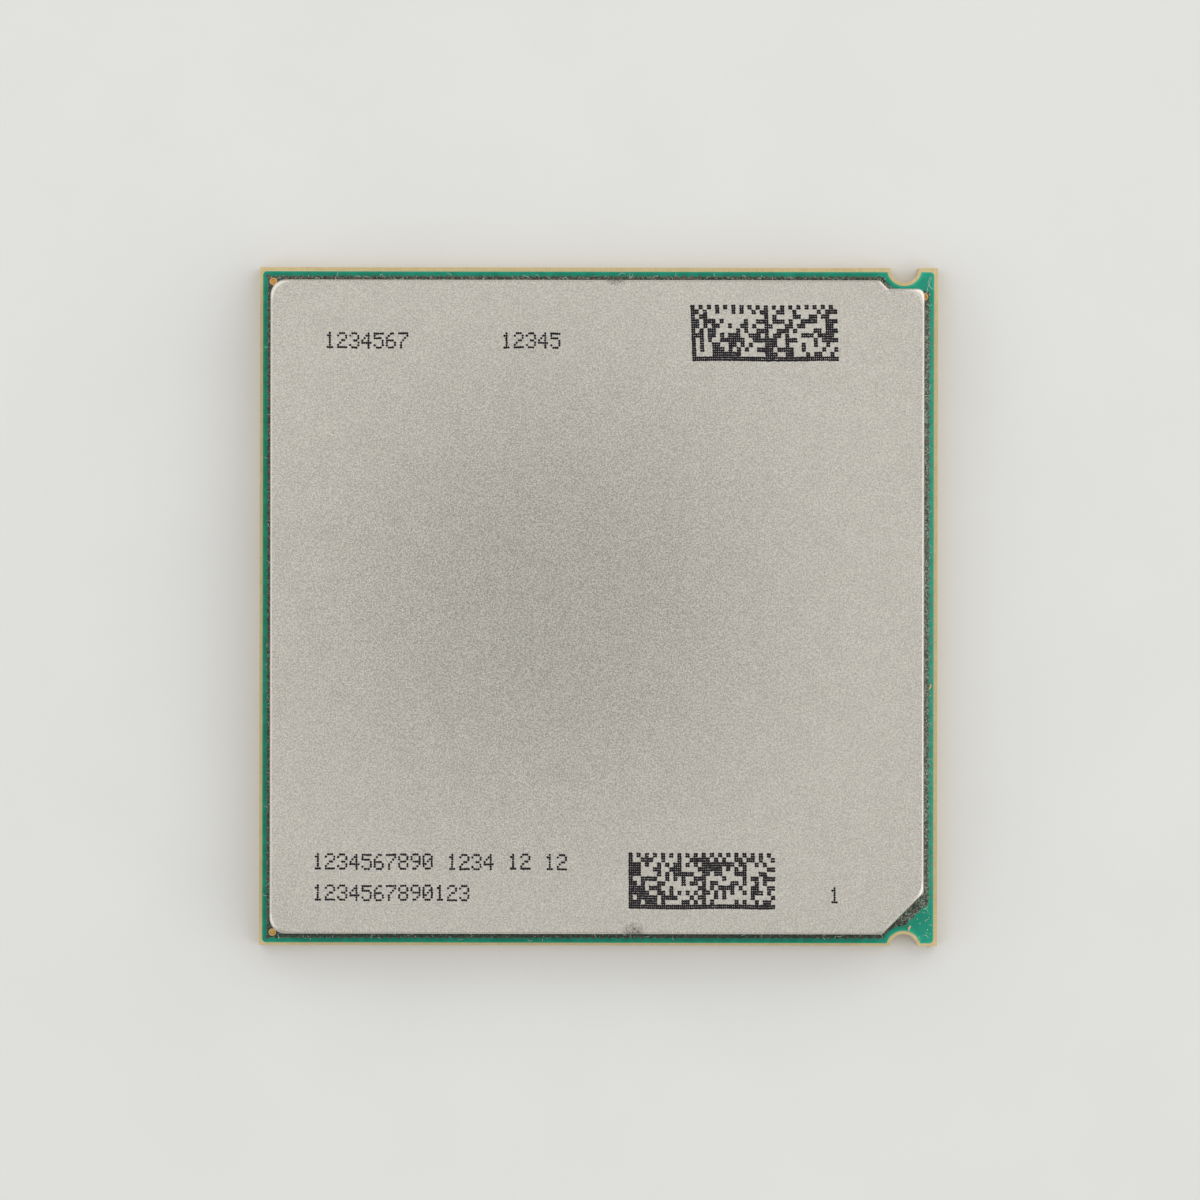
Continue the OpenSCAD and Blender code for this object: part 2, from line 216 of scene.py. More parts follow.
TAN_SPECKS = (
    (24.44, -21.39), (24.3, -20.7), (24.3, -6.45), (24.55, -11.7), (24.1, 15.6),
    (-21.74, -24.34), (-24.4, -12.3),
)

# The floor turns into the backdrop over these distances from the package, in millimetres
FLOOR_FADES = (200.0, 700.0)
BLACK = (0.0, 0.0, 0.0)


def paint(red, green, blue):
    """An sRGB colour from 0 to 255 as Blender's linear values."""
    shares = (red / 255, green / 255, blue / 255)
    return tuple(s / 12.92 if s <= 0.04045 else ((s + 0.055) / 1.055) ** 2.4 for s in shares)


def shade(rgb, by):
    """A darker or paler copy of a colour."""
    return tuple(min(1.0, c * by) for c in rgb)


def colour(name, description, rgb):
    """A colour property with an sRGB default."""
    return FloatVectorProperty(
        name=name, description=description, subtype="COLOR", size=3, min=0.0, max=1.0,
        default=paint(*rgb),
    )


def length(name, description, millimetres):
    """A length property with a default in millimetres."""
    metres = millimetres * MM
    return FloatProperty(name=name, description=description, unit="LENGTH", default=metres)


def spread(name, description, millimetres):
    """A property of two or three lengths with defaults in millimetres."""
    metres = tuple(value * MM for value in millimetres)
    return FloatVectorProperty(
        name=name, description=description, unit="LENGTH", size=len(metres), default=metres
    )


def share(name, description, default):
    """A property from 0 to 1."""
    return FloatProperty(
        name=name, description=description, subtype="FACTOR", min=0.0, max=1.0, default=default
    )


def count(name, description, least, default):
    """A property that counts things."""
    return IntProperty(name=name, description=description, min=least, default=default)


def watts(name, description, default):
    """A property for a lamp's power."""
    return FloatProperty(name=name, description=description, unit="POWER", default=default)


class ProcessorFinishes(bpy.types.PropertyGroup):
    """Colours and grain of the package's materials."""

    nickel: colour("Nickel", "Plating of the lid", (212, 206, 193))
    nickel_cool: colour("Cool nickel", "Cooler grains of the plating", (206, 204, 197))
    # Painted highlight: a paler plating colour on the burnished rolled edge
    nickel_burnish_highlight: colour("Burnished nickel highlight", "Plating of the lid's rolled edge", (216, 211, 200))
    nickel_roughness: share("Nickel roughness", "Mean roughness of the plating", 0.5)
    roll_roughness: share("Roll roughness", "Roughness of the lid's rolled edge", 0.28)
    nickel_grain: length("Nickel grain", "Size of the plating's grain", 0.1)
    # Painted shade: the share of light that the lid's middle loses in its colour
    nickel_middle_shade: share("Painted middle shade", "Share of light that the lid's handled middle loses", 0.2)
    rub: colour("Rub mark", "Brown rub marks at the lid's edges", (92, 82, 76))
    laminate: colour("Laminate", "Bare glass-epoxy laminate", (214, 194, 144))
    laminate_resin: colour("Laminate resin", "Resin between the glass yarns", (172, 144, 94))
    ply: length("Glass ply", "Thickness of one ply of glass cloth in the laminate", 0.13)
    yarn: length("Glass yarn", "Pitch of the yarns in a ply", 0.46)
    burr_d: length("Burr", "Thickness of the router's burr on the laminate's edge", 0.1)
    mask: colour("Solder mask", "Mask on bare laminate", (0, 126, 100))
    # Also the painted highlight along the mask's edge and the painted light towards the right
    mask_pale: colour("Thin mask", "Thinner mask, in patches and at its edge", (40, 172, 142))
    pour: colour("Mask on copper", "Mask over the copper plane", (36, 56, 48))
    pour_brown: colour("Mask on copper, brown", "Brown patches over the copper", (92, 87, 75))
    pour_fleck: colour("Mask on copper, flecks", "Pale flecks over the copper", (146, 164, 146))
    cusp: colour("Copper edge", "Copper showing through at the plane's edge", (118, 84, 70))
    film: colour("Dust film", "Fine dust on the mask's right side", (190, 196, 184))
    film_share: share("Dust film cover", "Cover of the fine dust at the right edge", 0.08)
    copper: colour("Copper", "Copper foil of the plane", (184, 115, 80))
    gold: colour("Gold", "Gold plating of lands and marks", (222, 184, 104))
    gold_deep: colour("Deep gold", "Orange patches in the gold", (204, 132, 50))
    gold_pale: colour("Pale gold", "Thin gold at the rim of a mark", (238, 216, 158))
    land_pitch: length("Land pitch", "Pitch of the contact lands", 1.5)
    silicon: colour("Silicon", "Ground back of the die", (92, 96, 106))
    resin: colour("Underfill", "Cured underfill resin", (46, 46, 54))
    compound: colour("Thermal compound", "Layer between die and lid", (164, 164, 160))
    sealant: colour("Sealant", "Bead under the lid's foot", (34, 34, 36))
    ceramic: colour("Capacitor ceramic", "Capacitor bodies", (150, 118, 88))
    tin: colour("Tin", "Capacitor terminals", (196, 196, 192))
    solder: colour("Solder", "Capacitor solder", (178, 180, 184))


class ProcessorPrint(bpy.types.PropertyGroup):
    """Ink dots on the lid."""

    ink: colour("Ink", "Near-black marking ink", (20, 17, 22))
    ink_gloss: share("Ink gloss", "Specular level of the ink", 0.2)
    pitch_x: length("Dot pitch, across", "Distance of the dots along a row", 0.149)
    pitch_y: length("Dot pitch, up", "Distance of the dots along a column", 0.172)
    dot_d: length("Dot diameter", "Diameter of an ink dot in a digit", 0.19)
    matrix_dot_d: length("Matrix dot diameter", "Diameter of a dot in a matrix mark", 0.199)
    dot_t: length("Dot height", "Height of an ink dot on the lid", 0.006)
    scatter: length("Scatter", "Spread of the dots about their places", 0.007)
    wave: length("Wave", "Rise and fall of a printed line along the lid", 0.022)
    wave_l: length("Wave length", "Length of one rise and fall", 7.3)
    matrix_columns: count("Matrix columns", "Modules across a matrix mark", 8, 36)
    matrix_rows: count("Matrix rows", "Modules up a matrix mark", 4, 12)
    seed: count("Seed", "Seed of the scatter and the matrix marks", 0, 41)


class ProcessorDust(bpy.types.PropertyGroup):
    """Lint and specks on the board."""

    lint: colour("Lint", "Pale lint on the mask", (160, 190, 172))
    tan: colour("Tan dust", "Tan specks and fibres", (243, 206, 158))
    white: colour("White dust", "Pale specks", (228, 232, 224))
    lint_d: length("Lint diameter", "Diameter of a lint fibre", 0.038)
    chip_d: length("Chip thickness", "Thickness of a tan chip", 0.12)
    speck_d: length("Speck size", "Mean size of a speck", 0.1)
    scattered: count("Scattered specks", "Small specks round the lid", 0, 200)
    threads: count("Stray threads", "Short threads of lint round the lid", 0, 190)
    seed: count("Seed", "Seed of the specks and threads", 0, 7)


class ProcessorStage(bpy.types.PropertyGroup):
    """Camera, floor and lamps."""

    camera_height: length("Camera height", "Height of the camera over the mask", 450.0)
    camera_x: length("Camera X", "Camera's place along X", 0.108)
    camera_y: length("Camera Y", "Camera's place along Y", 0.479)
    camera_roll: FloatProperty(
        name="Camera roll", description="Turn about the view axis", unit="ROTATION",
        default=math.radians(0.094),
    )
    frame_width: length("Frame width", "Width that the picture shows at the mask", 88.515)
    floor: colour("Floor", "Plain pale floor", (226, 226, 223))
    backdrop: colour("Backdrop", "Even tone of the floor far from the package", (226, 226, 222))
    world: FloatProperty(
        name="World", description="Strength of the even studio light", min=0.0, default=0.47
    )
    left_watts: watts("Left softbox", "Power of the left softbox", 3.5)
    left_place: spread("Left softbox place", "Middle of the left softbox", (-500, 170, 500))
    right_watts: watts("Right softbox", "Power of the right softbox", 4.8)
    right_place: spread("Right softbox place", "Middle of the right softbox", (560, 140, 480))
    softbox_size: spread("Softbox size", "Width and height of a softbox", (1600, 900))


class Finish:
    """A node material in the making. Places in it are millimetres in the part's own frame."""

    def __init__(self, name, sockets):
        self.material = bpy.data.materials.new(name)
        self.material.use_nodes = True
        self.nodes = self.material.node_tree.nodes
        self.links = self.material.node_tree.links
        self.shader = self.nodes["Principled BSDF"]
        for socket, value in sockets.items():
            self.feed(socket, value)
        here = self.nodes.new("ShaderNodeTexCoord").outputs["Object"]
        self.place = self.vector("MULTIPLY", here, (1 / MM, 1 / MM, 1 / MM))

    def join(self, value, socket):
        """Links a socket, or sets a number, vector or colour on it."""
        if isinstance(value, bpy.types.NodeSocket):
            self.links.new(value, socket)
        elif socket.type == "RGBA":
            socket.default_value = (*value[:3], 1.0)
        else:
            socket.default_value = value

    def feed(self, socket, value):
        """Gives the shader a value or a linked one."""
        self.join(value, self.shader.inputs[socket])

    def add(self, kind, inputs, **settings):
        """A new node with its settings made and its inputs joined."""
        node = self.nodes.new("ShaderNode" + kind)
        for key, value in settings.items():
            setattr(node, key, value)
        for key, value in inputs.items():
            self.join(value, node.inputs[key])
        return node

    def math(self, operation, *values):
        """One step of arithmetic."""
        return self.add("Math", dict(enumerate(values)), operation=operation).outputs["Value"]

    def plus(self, first, *others):
        """Sum of numbers."""
        for other in others:
            first = self.math("ADD", first, other)
        return first

    def minus(self, first, second):
        """Difference of two numbers."""
        return self.math("SUBTRACT", first, second)

    def times(self, first, *others):
        """Product of numbers."""
        for other in others:
            first = self.math("MULTIPLY", first, other)
        return first

    def vector(self, operation, *values):
        """One step of vector arithmetic."""
        node = self.add("VectorMath", dict(enumerate(values)), operation=operation)
        return node.outputs["Vector"]

    def scaled(self, value, by):
        """A colour or vector times a number."""
        node = self.add("VectorMath", {0: value, "Scale": by}, operation="SCALE")
        return node.outputs["Vector"]

    def axes(self):
        """The place's X, Y and Z."""
        parts = self.add("SeparateXYZ", {"Vector": self.place}).outputs
        return parts["X"], parts["Y"], parts["Z"]

    def distance(self, x, y, place=(0.0, 0.0)):
        """Distance from a place, in plan."""
        across = self.math("POWER", self.minus(x, place[0]), 2.0)
        up = self.math("POWER", self.minus(y, place[1]), 2.0)
        return self.math("SQRT", self.plus(across, up))

    def slope(self):
        """Cosine of a face's angle to the level: 1 on level faces and 0 on upright ones."""
        normal = self.nodes.new("ShaderNodeNewGeometry").outputs["Normal"]
        return self.math("ABSOLUTE", self.add("SeparateXYZ", {"Vector": normal}).outputs["Z"])

    def facing_up(self):
        """1 on faces that are nearly level and 0 on nearly upright ones."""
        return self.ease(self.slope(), *LEVEL_BAND)

    def noise(self, size, detail=2.0, stretch=(1.0, 1.0, 1.0)):
        """Cloudy noise with features of about that size, longer along a stretched axis."""
        scale = tuple(1 / (size * s) for s in stretch)
        place = self.vector("MULTIPLY", self.place, scale)
        inputs = {"Vector": place, "Scale": 1.0, "Detail": detail}
        return self.add("TexNoise", inputs).outputs["Fac"]

    def ease(self, value, low, high, start=0.0, end=1.0):
        """Smooth change from start to end while the value goes from low to high."""
        limits = {"Value": value, "From Min": low, "From Max": high, "To Min": start, "To Max": end}
        return self.add("MapRange", limits, interpolation_type="SMOOTHSTEP").outputs["Result"]

    def clouds(self, size, band=CLOUD_BAND, start=0.0, end=1.0, detail=2.0):
        """Patches of about that size, from start to end over a band of noise values."""
        return self.ease(self.noise(size, detail), *band, start, end)

    def mix(self, amount, first, second):
        """Colour between the first and the second."""
        inputs = {"Fac": amount, "Color1": first, "Color2": second}
        return self.add("MixRGB", inputs).outputs["Color"]

    def bump(self, height, depth, strength):
        """Relief of that depth, on top of any relief made before."""
        inputs = {"Height": height, "Distance": depth * MM, "Strength": strength}
        node = self.add("Bump", inputs)
        for link in self.shader.inputs["Normal"].links:
            self.links.new(link.from_socket, node.inputs["Normal"])
        self.feed("Normal", node.outputs["Normal"])

    def beyond(self, x, y, low, high):
        """How far a place lies outside a box in plan, below zero inside it."""
        middle = (low + high) / (2 * MM)
        half = (high - low) / (2 * MM)
        across = self.math("ABSOLUTE", self.minus(x, middle.x))
        up = self.math("ABSOLUTE", self.minus(y, middle.y))
        return self.math("MAXIMUM", self.minus(across, half.x), self.minus(up, half.y))

    def spot(self, x, y, half_size, softness, place=(0.0, 0.0)):
        """1 inside an ellipse in plan, fading out towards its edge."""
        across = self.math("DIVIDE", self.minus(x, place[0]), half_size[0])
        up = self.math("DIVIDE", self.minus(y, place[1]), half_size[1])
        reach = self.plus(self.times(across, across), self.times(up, up))
        return self.ease(reach, 1.0 - softness, 1.0 + softness, start=1.0, end=0.0)


def dress(material, *nodes):
    """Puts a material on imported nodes."""
    for name in nodes:
        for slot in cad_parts[name].material_slots:
            slot.material = material


def numbered(stem):
    """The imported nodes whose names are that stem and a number."""
    names = [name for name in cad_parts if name.startswith(stem)]
    if not names:
        raise RuntimeError(f"The packed part has no node named {stem} and a number")
    return names


def grained_nickel(finish, look, x, y):
    """Colour of the plating: fine grain, pits and faint clouds, and painted shade that darkens the
    middle.
    """
    grain = look.nickel_grain / MM
    reach = finish.distance(x, y, SHADE_AND_GRAIN_MIDDLE)
    contrast = finish.ease(reach, *GRAIN_CALMS, *GRAIN_CONTRAST)
    swing = finish.times(finish.clouds(grain, SOFT_BAND, start=-1.0, end=1.0), contrast)
    faint = finish.clouds(size=2.2, band=SOFT_BAND, start=0.985, end=1.015, detail=3.0)
    pits = finish.clouds(1.6 * grain, PIT_BAND, start=1.0, end=0.7, detail=1.0)
    # Painted shade: the lid's middle is painted darker, fading out towards its edges
    middle_shade = finish.ease(reach, *MIDDLE_SHADE_ENDS, start=1.0 - look.nickel_middle_shade, end=1.0)
    tone = finish.times(finish.plus(swing, 0.97), faint, pits, middle_shade)
    hue = finish.clouds(0.9 * grain)
    return finish.scaled(finish.mix(hue, look.nickel, look.nickel_cool), tone)


def rubbed(finish, look, plating, x, y, z):
    """The plating's colour with ragged brown rub marks high up at the lid's edges."""
    ragged = finish.times(finish.minus(finish.noise(size=0.3, detail=3.0), 0.5), 1.6)
    dots = finish.clouds(size=0.12, band=RUB_BAND, start=0.3, end=1.0, detail=1.0)
    near_top = finish.ease(z, LID_HIGH.z / MM - RUB_DEPTH, LID_HIGH.z / MM)
    for mark_x, mark_y, half_x, half_y, strength in RUB_MARKS:
        ragged_y = finish.plus(y, finish.times(ragged, half_y))
        spot = finish.spot(x, ragged_y, (half_x, half_y), softness=0.9, place=(mark_x, mark_y))
        plating = finish.mix(finish.times(spot, dots, near_top, strength), plating, look.rub)
    return plating


def nickel_finish(look):
    """Matte nickel with a burnished rolled edge that is painted paler as a highlight, rub marks,
    and drag lines on the sheared sides.
    """
    finish = Finish("matte_nickel", {"Metallic": 1.0})
    x, y, z = finish.axes()
    slope = finish.slope()
    rolled = finish.times(
        finish.ease(slope, *ROLL_START), finish.ease(slope, *ROLL_END, start=1.0, end=0.0)
    )
    plain = grained_nickel(finish, look, x, y)
    # Painted highlight: the burnished rolled edge takes the paler colour, without grain
    plating = finish.mix(rolled, plain, look.nickel_burnish_highlight)
    finish.feed("Base Color", rubbed(finish, look, plating, x, y, z))
    grain = look.nickel_grain / MM
    mean = look.nickel_roughness
    matte = finish.clouds(grain, WIDE_BAND, start=mean - NICKEL_SWING, end=mean + NICKEL_SWING)
    polish = finish.times(rolled, mean - look.roll_roughness)
    finish.feed("Roughness", finish.minus(matte, polish))
    upright = finish.minus(1.0, finish.facing_up())
    drag = finish.times(finish.noise(size=0.12, stretch=(1, 1, 30)), upright)
    finish.bump(drag, depth=0.02, strength=0.5)
    finish.bump(finish.noise(grain), depth=0.006, strength=0.5)
    return finish.material


def cut_yarns(finish, ply, yarn):
    """1 in the cut ends of glass yarns and 0 in the resin round them, ply over ply."""
    x, y, z = finish.axes()
    plies = finish.math("DIVIDE", z, ply)
    row = finish.math("FLOOR", plies)
    shift = finish.times(row, YARN_SHIFT * yarn)
    wander = finish.minus(finish.noise(size=1.2, stretch=(1, 1, 0.1)), 0.5)
    along = finish.plus(x, y, shift, finish.times(wander, yarn))
    off_yarn = finish.math("PINGPONG", along, yarn / 2)
    off_ply = finish.minus(finish.minus(plies, row), 0.5)
    return finish.spot(off_yarn, off_ply, (YARN_HALF * yarn, 0.4), softness=0.6)


def laminate_finish(look):
    """Bare glass-epoxy: fine cloth lines on level faces and cut yarns on the edges."""
    finish = Finish("bare_laminate", {"IOR": 1.5})
    level = finish.facing_up()
    warp = finish.noise(size=0.07, stretch=(9, 1, 1))
    weft = finish.noise(size=0.07, stretch=(1, 9, 1))
    cloth = finish.times(finish.plus(warp, weft), 0.5)
    yarns = cut_yarns(finish, look.ply / MM, look.yarn / MM)
    torn = finish.clouds(size=0.06, end=0.3)
    on_level = finish.ease(cloth, *CLOUD_BAND, end=0.32)
    on_cut = finish.plus(finish.ease(yarns, 0.0, 1.0, start=0.6, end=0.12), torn)
    upright = finish.minus(1.0, level)
    resin = finish.plus(finish.times(level, on_level), finish.times(upright, on_cut))
    finish.feed("Base Color", finish.mix(resin, look.laminate, look.laminate_resin))
    finish.feed("Roughness", finish.ease(cloth, *SOFT_BAND, start=0.5, end=0.68))
    finish.bump(finish.noise(size=0.05), depth=0.01, strength=0.6)
    return finish.material


def copper_edge(finish, x, y):
    """How far a place lies outside the copper plane and its cut, below zero inside it."""
    past_box = finish.beyond(x, y, PLANE_LOW, PLANE_HIGH)
    past_cut = finish.minus(finish.minus(x, y), PLANE_CUT_LINE)
    return finish.math("MAXIMUM", past_box, finish.math("DIVIDE", past_cut, math.sqrt(2)))


def mask_border(finish, x, y):
    """How far a place lies outside the mask or inside a key notch, below zero on the mask."""
    border = finish.beyond(x, y, MASK_LOW, MASK_HIGH)
    for place in NOTCHES:
        past_notch = finish.minus(NOTCH_CLEAR, finish.distance(x, y, place))
        border = finish.math("MAXIMUM", border, past_notch)
    return border


def mask_on_laminate(finish, look, border, dust):
    """Green of the mask, thinner in patches, with a painted highlight at its border and painted
    light towards the right.
    """
    patches = finish.clouds(size=0.8, band=THIN_BAND, end=0.3, detail=3.0)
    # Painted highlight: the mask is painted paler along its edge and round the notches
    edge_highlight = finish.ease(border, *EDGE_HIGHLIGHT_BAND, end=0.45)
    # Painted light: the green is painted paler towards the right edge, where light from the right
    # falls
    thin_and_lit = finish.plus(patches, edge_highlight, finish.times(dust, 0.35))
    return finish.mix(thin_and_lit, look.mask, look.mask_pale)


def mask_on_copper(finish, look, edge, mottle, dust, out_of_lower_shade):
    """Dark mask with brown patches and pale flecks, both fewer along the lower edge as painted
    shade, and copper showing through at its edge.
    """
    # Painted shade: fewer brown patches and flecks make the lower edge darker
    brown = finish.times(mottle, finish.ease(out_of_lower_shade, 0.0, 1.0, start=0.55, end=1.0))
    dark = finish.mix(brown, look.pour, look.pour_brown)
    fewer_flecks_in_shade = finish.ease(out_of_lower_shade, 0.0, 1.0, start=-0.05, end=0.0)
    dusty = finish.plus(finish.noise(size=0.13), finish.times(dust, 0.05), fewer_flecks_in_shade)
    dark = finish.mix(finish.ease(dusty, *FLECK_BAND, end=0.75), dark, look.pour_fleck)
    bare = finish.clouds(size=0.5, band=BARE_BAND, start=0.1, end=0.5)
    return finish.mix(finish.times(finish.ease(edge, *BARE_EDGE), bare), dark, look.cusp)


def mask_finish(look):
    """Green mask, even on bare laminate and dark over copper, with a film of dust and painted light
    on the right, a painted highlight at its edge, and painted shade along the lower edge.
    """
    finish = Finish("solder_mask", {"IOR": 1.52, "Specular IOR Level": 0.3})
    x, y, z = finish.axes()
    step = COPPER_LEVEL / MM
    on_copper = finish.ease(z, step - COPPER_STEP, step + COPPER_STEP)
    # Dust on the mask, and painted light on its green, grow towards the right edge
    dust = finish.ease(x, *DUST_AND_LIGHT_GROWS)
    # Painted shade: 0 along the lower edge, where the mask over copper is painted darker, and 1
    # further up
    out_of_lower_shade = finish.ease(y, *LOWER_SHADE_ENDS)
    mottle = finish.clouds(size=0.18, band=CRISP_BAND, detail=3.0)
    green = mask_on_laminate(finish, look, mask_border(finish, x, y), dust)
    dark = mask_on_copper(finish, look, copper_edge(finish, x, y), mottle, dust, out_of_lower_shade)
    cover = look.film_share
    settled = finish.clouds(size=0.3, start=0.5 * cover, end=1.5 * cover, detail=3.0)
    off_corners = finish.ease(finish.math("ABSOLUTE", y), *FILM_FADES, start=1.0, end=0.0)
    film = finish.times(dust, off_corners, settled)
    finish.feed("Base Color", finish.mix(film, finish.mix(on_copper, green, dark), look.film))
    finish.feed("Roughness", finish.ease(mottle, 0.0, 1.0, start=0.32, end=0.46))
    finish.bump(finish.noise(size=0.35), depth=0.004, strength=0.5)
    grit = finish.times(finish.noise(size=0.11), on_copper)
    finish.bump(grit, depth=0.008, strength=0.5)
    return finish.material


def copper_finish(look):
    """Rolled copper foil."""
    finish = Finish("copper_foil", {"Metallic": 1.0})
    roll = finish.noise(size=0.08, stretch=(12, 1, 1))
    finish.feed("Base Color", finish.mix(roll, look.copper, look.cusp))
    finish.feed("Roughness", finish.ease(roll, *SOFT_BAND, start=0.35, end=0.5))
    return finish.material


def mark_finish(look, marks):
    """Gold plating of the fiducial marks, with orange patches and a paler rim."""
    finish = Finish("fiducial_gold", {"Metallic": 1.0})
    x, y, _ = finish.axes()
    boxes = [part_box(mark) for mark in marks]
    radius = (boxes[0][1].x - boxes[0][0].x) / (2 * MM)
    nearest, *others = [finish.distance(x, y, (low + high) / (2 * MM)) for low, high in boxes]
    for other in others:
        nearest = finish.math("MINIMUM", nearest, other)
    patches = finish.clouds(size=0.2)
    gold = finish.mix(patches, look.gold, look.gold_deep)
    rim = finish.ease(nearest, 0.7 * radius, 0.95 * radius, end=0.8)
    finish.feed("Base Color", finish.mix(rim, gold, look.gold_pale))
    finish.feed("Roughness", finish.ease(patches, 0.0, 1.0, start=0.3, end=0.5))
    finish.bump(finish.noise(size=0.12), depth=0.006, strength=0.6)
    return finish.material


def land_finish(look):
    """Gold plating of the lands, darker at each rim, with a contact's wipe across each middle."""
    finish = Finish("land_gold", {"Metallic": 1.0})
    x, y, _ = finish.axes()
    pitch = look.land_pitch / MM
    middle = (LAND_LOW + LAND_HIGH) / (2 * MM)
    near_x = finish.math("PINGPONG", finish.minus(x, middle.x), pitch / 2)
    near_y = finish.math("PINGPONG", finish.minus(y, middle.y), pitch / 2)
    rim = finish.ease(finish.distance(near_x, near_y), 0.2 * pitch, 0.3 * pitch, end=0.5)
    wipe = finish.spot(near_x, near_y, WIPE_HALF, softness=0.5)
    deep = finish.math("MAXIMUM", rim, finish.clouds(size=0.9, end=0.35))
    finish.feed("Base Color", finish.mix(deep, look.gold, look.gold_deep))
    finish.feed("Roughness", finish.ease(wipe, 0.0, 1.0, start=0.34, end=0.2))
    finish.bump(finish.noise(size=0.1), depth=0.004, strength=0.4)
    return finish.material


def cloudy_finish(name, main, tint, size, roughness, metallic=0.0, relief=0.004, gloss=0.5):
    """A plain finish with clouds of a darker or paler tint and a fine relief."""
    finish = Finish(name, {"Metallic": metallic, "Specular IOR Level": gloss})
    clouds = finish.noise(size, detail=3.0)
    tinted = finish.ease(clouds, *CLOUD_BAND)
    finish.feed("Base Color", finish.mix(tinted, main, shade(main, tint)))
    rough = (roughness - PLAIN_SWING, roughness + PLAIN_SWING)
    finish.feed("Roughness", finish.ease(clouds, *SOFT_BAND, *rough))
    finish.bump(finish.noise(size / 3), depth=relief, strength=0.6)
    return finish.material


def piece(name, vertices, faces, material, slot):
    """A new mesh piece that rides on the package."""
    mesh = bpy.data.meshes.new(name)
    mesh.from_pydata(vertices, [], faces)
    mesh.materials.append(material)
    made = bpy.data.objects.new(name, mesh)
    bpy.context.scene.collection.objects.link(made)
    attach(made, BODY)


def ink_dots(dots, sides=12, shoulder=0.82, sunk=0.001 * MM):
    """Vertices and faces of flat drops of ink that stand on the lid."""
    vertices = []
    faces = []
    low = LID_HIGH.z - sunk
    angles = [2 * math.pi * k / sides for k in range(sides)]
    turns = [(math.cos(angle), math.sin(angle)) for angle in angles]
    for x, y, radius, height in dots:
        first = len(vertices)
        high = LID_HIGH.z + height
        vertices += [(x + radius * c, y + radius * s, low) for c, s in turns]
        vertices += [(x + radius * shoulder * c, y + radius * shoulder * s, high) for c, s in turns]
        faces.append([first + k for k in reversed(range(sides))])
        faces.append([first + sides + k for k in range(sides)])
        for k in range(sides):
            after = (k + 1) % sides
            faces.append((first + k, first + after, first + sides + after, first + sides + k))
    return vertices, faces


def scattered(places, diameter, ink, chance):
    """Dots at those places, each a little off and of a slightly different size."""
    dots = []
    for x, y in places:
        off_x = chance.gauss(0.0, ink.scatter)
        off_y = chance.gauss(0.0, ink.scatter) + ink.wave * math.sin(2 * math.pi * x / ink.wave_l)
        radius = diameter / 2 * (1 + chance.gauss(0.0, DOT_SIZE_SPREAD))
        height = ink.dot_t * chance.uniform(*DOT_HEIGHTS)
        dots.append((x + off_x, y + off_y, radius, height))
    return dots


def digit_places(text, x, y, ink):
    """Places of the dots of a line of digits."""
    for index, digit in enumerate(text):
        for down, row in enumerate(DIGITS.get(digit, ())):
            for across, dot in enumerate(row):
                if dot == "1":
                    column = index * (DIGIT_COLUMNS + 1) + across + 0.5
                    up = DIGIT_ROWS - down - 0.5
                    yield x + column * ink.pitch_x, y + up * ink.pitch_y


def matrix_modules(columns, rows, chance):
    """Dark modules of a made-up matrix, with solid left and lower borders and ticked other ones."""
    region = columns // 2
    for column in range(columns):
        for row in range(rows):
            dark = chance.random() < MATRIX_DARK_SHARE
            if row == rows - 1:
                dark = column % 2 == 0
            if column % region == region - 1:
                dark = row % 2 == 0
            if column % region == 0 or row == 0:
                dark = True
            if dark:
                yield column, row


def matrix_places(x, y, lean, ink, chance):
    """Places of the dots of a matrix mark, two by two in each dark module."""
    top = 2 * ink.matrix_rows
    for column, row in matrix_modules(ink.matrix_columns, ink.matrix_rows, chance):
        for across in (0, 1):
            for up in (0, 1):
                dot_row = 2 * row + up + 0.5
                dot_x = x + (2 * column + across + 0.5) * ink.pitch_x - lean * dot_row / top
                yield dot_x, y + dot_row * ink.pitch_y


def smooth_path(points, steps=6):
    """A curve through points, as closer points."""
    ends = [points[0], *points, points[-1]]
    path = []
    for k in range(1, len(ends) - 2):
        a, b, c, d = (Vector(p) for p in ends[k - 1 : k + 3])
        for i in range(steps):
            t = i / steps
            path.append(0.5 * (2 * b + (c - a) * t + (2 * a - 5 * b + 4 * c - d) * t**2
                               + (3 * b - a - 3 * c + d) * t**3))
    path.append(Vector(points[-1]))
    return path


def fibre(points, level, diameter, sides=6, taper=0.5):
    """Vertices and faces of a fibre that lies on a level, thinner at both ends."""
    path = smooth_path([(x * MM, y * MM, level + diameter / 2) for x, y in points])
    vertices = []
    faces = []
    last = len(path) - 1
    above = Vector((0, 0, 1))
    for k, here in enumerate(path):
        along = (path[min(k + 1, last)] - path[max(k - 1, 0)]).normalized()
        side = along.cross(above).normalized()
        radius = diameter / 2 * (1 - taper * abs(2 * k / last - 1) ** 3)
        for i in range(sides):
            turn = 2 * math.pi * i / sides
            vertices.append(here + radius * (math.cos(turn) * side + math.sin(turn) * above))
    for k in range(last):
        near = k * sides
        far = near + sides
        for i in range(sides):
            after = (i + 1) % sides
            faces.append((near + i, far + i, far + after, near + after))
    faces.append(list(range(sides)))
    faces.append([last * sides + i for i in reversed(range(sides))])
    return vertices, faces


